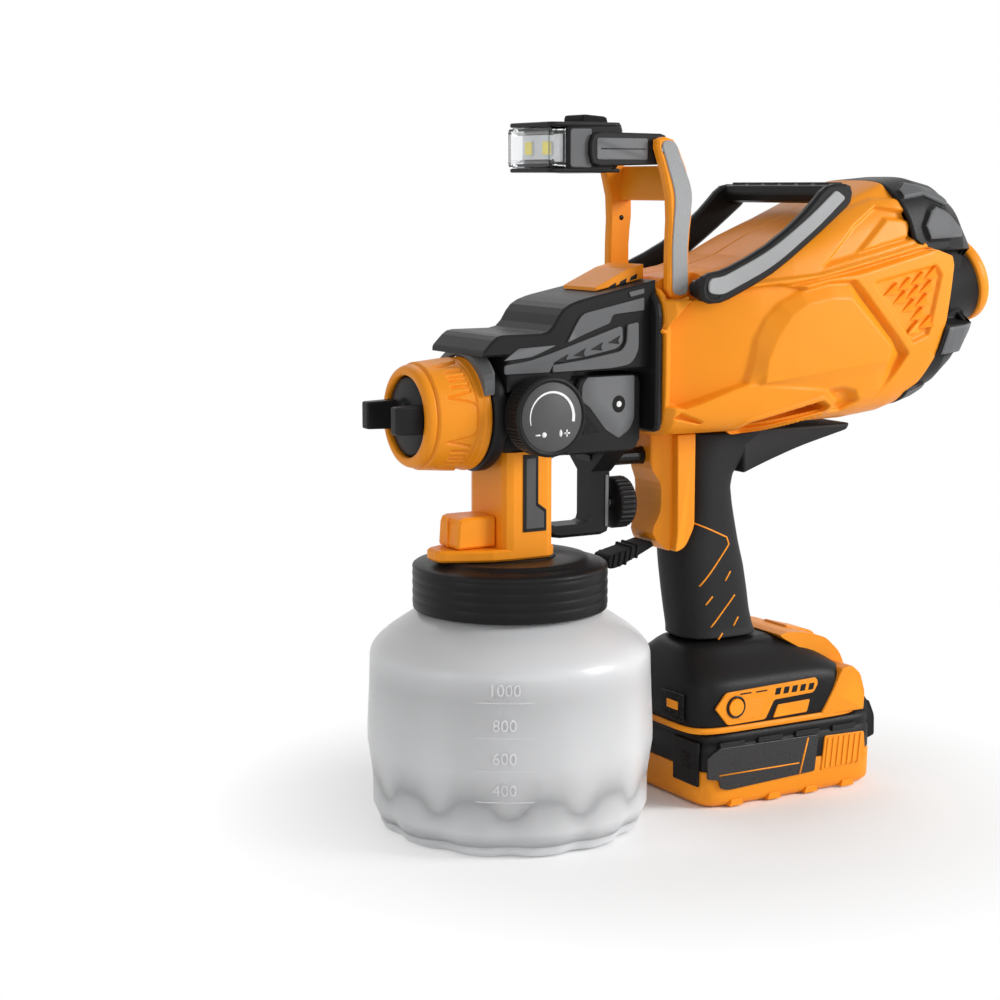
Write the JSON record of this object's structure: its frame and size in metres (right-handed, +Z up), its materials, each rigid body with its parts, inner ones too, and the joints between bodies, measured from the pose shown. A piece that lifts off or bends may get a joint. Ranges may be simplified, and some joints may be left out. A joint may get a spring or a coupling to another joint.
{
  "type": "cordless paint sprayer",
  "caption": "Cordless turbine paint sprayer: spray head with air cap and trigger, clear paint bottle below, motor housing with grip, battery foot, work lamp and carrying handle.",
  "frame": {"origin": "middle of the paint bottle's base, on the surface that the sprayer stands on", "axes": "+Z up; -X the way the paint leaves; +X towards the air intake; -Y the side with the pattern dial"},
  "size_m": [0.3326, 0.13, 0.3189],
  "materials": {
    "orange_shell": "satin moulded",
    "black_shell": "fine spark-eroded grain",
    "black_rubber": "matt moulded rubber",
    "steel": "turned",
    "grey_plastic": "satin moulded",
    "motor_metal": "cast can",
    "cell_metal": "sleeved cells",
    "clear_plastic": "clear moulded",
    "milky_plastic": "milky blow-moulded",
    "foam": "open-cell foam"
  },
  "bodies": {
    "sprayer": {"body_shell_left": "orange_shell", "body_shell_right": "orange_shell", "tail_cover": "black_shell", "intake_drum": "black_shell", "intake_filter": "foam", "motor": "motor_metal", "air_duct": "grey_plastic", "handle_front": "orange_shell", "grip_left": "black_shell", "grip_right": "black_shell", "ribbed_boot": "black_rubber", "foot": "black_shell", "foot_band": "orange_shell", "indicator_panel": "orange_shell", "control_board": "grey_plastic", "battery_terminals": "black_shell", "trigger_switch": "black_shell", "head_body": "black_shell", "head_cover": "black_shell", "front_collar": "black_shell", "fluid_tip": "steel", "needle_spring": "steel", "dial_spindle": "black_shell", "neck": "orange_shell", "vent_block": "orange_shell", "bottle_lid": "black_shell", "bottle_gasket": "black_rubber", "pickup_tube": "clear_plastic", "trigger_pin_left": "steel", "trigger_pin_right": "steel", "handle_pin_left": "steel", "handle_pin_right": "steel", "frame_pin_left": "steel", "frame_pin_right": "steel"},
    "intake_cap": {"intake_cap": "orange_shell"},
    "impeller": {"impeller": "grey_plastic"},
    "union_nut": {"union_nut": "orange_shell"},
    "air_cap": {"air_cap": "black_shell"},
    "needle": {"needle": "steel"},
    "pattern_dial": {"pattern_dial": "black_shell"},
    "trigger": {"trigger": "black_shell"},
    "flow_knob": {"flow_knob": "black_shell", "flow_screw": "steel"},
    "switch_plunger": {"switch_plunger": "black_shell"},
    "collar": {"collar": "black_shell"},
    "bottle": {"bottle": "milky_plastic"},
    "lamp_frame": {"lamp_frame": "orange_shell", "lamp_pin_left": "steel", "lamp_pin_right": "steel"},
    "lamp_head": {"lamp_head": "black_shell", "lamp_lens": "clear_plastic", "lamp_board": "grey_plastic"},
    "lamp_button": {"lamp_button": "black_rubber"},
    "carry_handle": {"carry_handle": "black_shell"},
    "release_latch": {"release_latch": "orange_shell"},
    "indicator_button": {"indicator_button": "black_rubber"},
    "battery": {"battery_lower_case": "orange_shell", "battery_upper_case": "black_shell", "battery_cells": "cell_metal"},
    "battery_latch": {"battery_latch": "grey_plastic"}
  },
  "joints": [
    {"name": "trigger_pull", "type": "hinge", "parent": "sprayer", "child": "trigger", "pos_m": [0.044, 0, 0.191], "axis": [0, -1, 0], "range_deg": [0, 8], "stiffness_Nm_per_rad": 1.2, "springref_deg": -8.59},
    {"name": "plunger_slide", "type": "slide", "parent": "sprayer", "child": "switch_plunger", "axis": [1, 0, 0], "range_m": [0, 0.0044]},
    {"name": "needle_slide", "type": "slide", "parent": "sprayer", "child": "needle", "axis": [1, 0, 0], "range_m": [0, 0.0026]},
    {"name": "flow_knob_turn", "type": "hinge", "parent": "trigger", "child": "flow_knob", "pos_m": [0.0523, 0, 0.143], "axis": [1, 0, 0], "range_deg": [0, 360]},
    {"name": "pattern_dial_turn", "type": "hinge", "parent": "sprayer", "child": "pattern_dial", "pos_m": [-0.001, 0, 0.189], "axis": [0, 1, 0], "range_deg": [0, 220]},
    {"name": "union_nut_turn", "type": "hinge", "parent": "sprayer", "child": "union_nut", "pos_m": [-0.03, 0, 0.1885], "axis": [1, 0, 0], "continuous": true},
    {"name": "air_cap_turn", "type": "hinge", "parent": "sprayer", "child": "air_cap", "pos_m": [-0.03, 0, 0.1885], "axis": [1, 0, 0], "range_deg": [-90, 90]},
    {"name": "collar_turn", "type": "hinge", "parent": "sprayer", "child": "collar", "pos_m": [0, 0, 0.11], "axis": [0, 0, 1], "range_deg": [0, 360]},
    {"name": "bottle_drop", "type": "slide", "parent": "sprayer", "child": "bottle", "axis": [0, 0, -1], "range_m": [0, 0.125]},
    {"name": "carry_handle_lift", "type": "hinge", "parent": "sprayer", "child": "carry_handle", "pos_m": [0.08, 0, 0.242], "axis": [0, -1, 0], "range_deg": [0, 55]},
    {"name": "lamp_arm_tilt", "type": "hinge", "parent": "sprayer", "child": "lamp_frame", "pos_m": [0.072, 0, 0.243], "axis": [0, 1, 0], "range_deg": [-20, 15]},
    {"name": "lamp_head_tilt", "type": "hinge", "parent": "lamp_frame", "child": "lamp_head", "pos_m": [0.064, 0, 0.304], "axis": [0, 1, 0], "range_deg": [-30, 25]},
    {"name": "lamp_button_press", "type": "slide", "parent": "lamp_head", "child": "lamp_button", "axis": [0, 0, -1], "range_m": [0, 0.001], "stiffness_N_per_m": 600, "springref_m": -0.002},
    {"name": "release_latch_slide", "type": "slide", "parent": "sprayer", "child": "release_latch", "axis": [-1, 0, 0], "range_m": [0, 0.004], "stiffness_N_per_m": 300, "springref_m": -0.006},
    {"name": "indicator_button_press", "type": "slide", "parent": "sprayer", "child": "indicator_button", "axis": [0, 1, 0], "range_m": [0, 0.001], "stiffness_N_per_m": 500, "springref_m": -0.002},
    {"name": "battery_slide", "type": "slide", "parent": "sprayer", "child": "battery", "axis": [1, 0, 0], "range_m": [0, 0.11]},
    {"name": "battery_latch_press", "type": "slide", "parent": "battery", "child": "battery_latch", "axis": [-1, 0, 0], "range_m": [0, 0.002], "stiffness_N_per_m": 600, "springref_m": -0.003},
    {"name": "intake_cap_turn", "type": "hinge", "parent": "sprayer", "child": "intake_cap", "pos_m": [0.2264, 0, 0.2325], "axis": [0.9624, 0, 0.2715], "range_deg": [0, 30]},
    {"name": "impeller_spin", "type": "hinge", "parent": "sprayer", "child": "impeller", "pos_m": [0.15, 0, 0.226], "axis": [1, 0, 0], "continuous": true}
  ],
  "couplings": [
    {"joint": "plunger_slide", "follows": "trigger_pull", "m_per_rad": 0.031},
    {"joint": "needle_slide", "follows": "trigger_pull", "m_per_rad": 0.018}
  ]
}
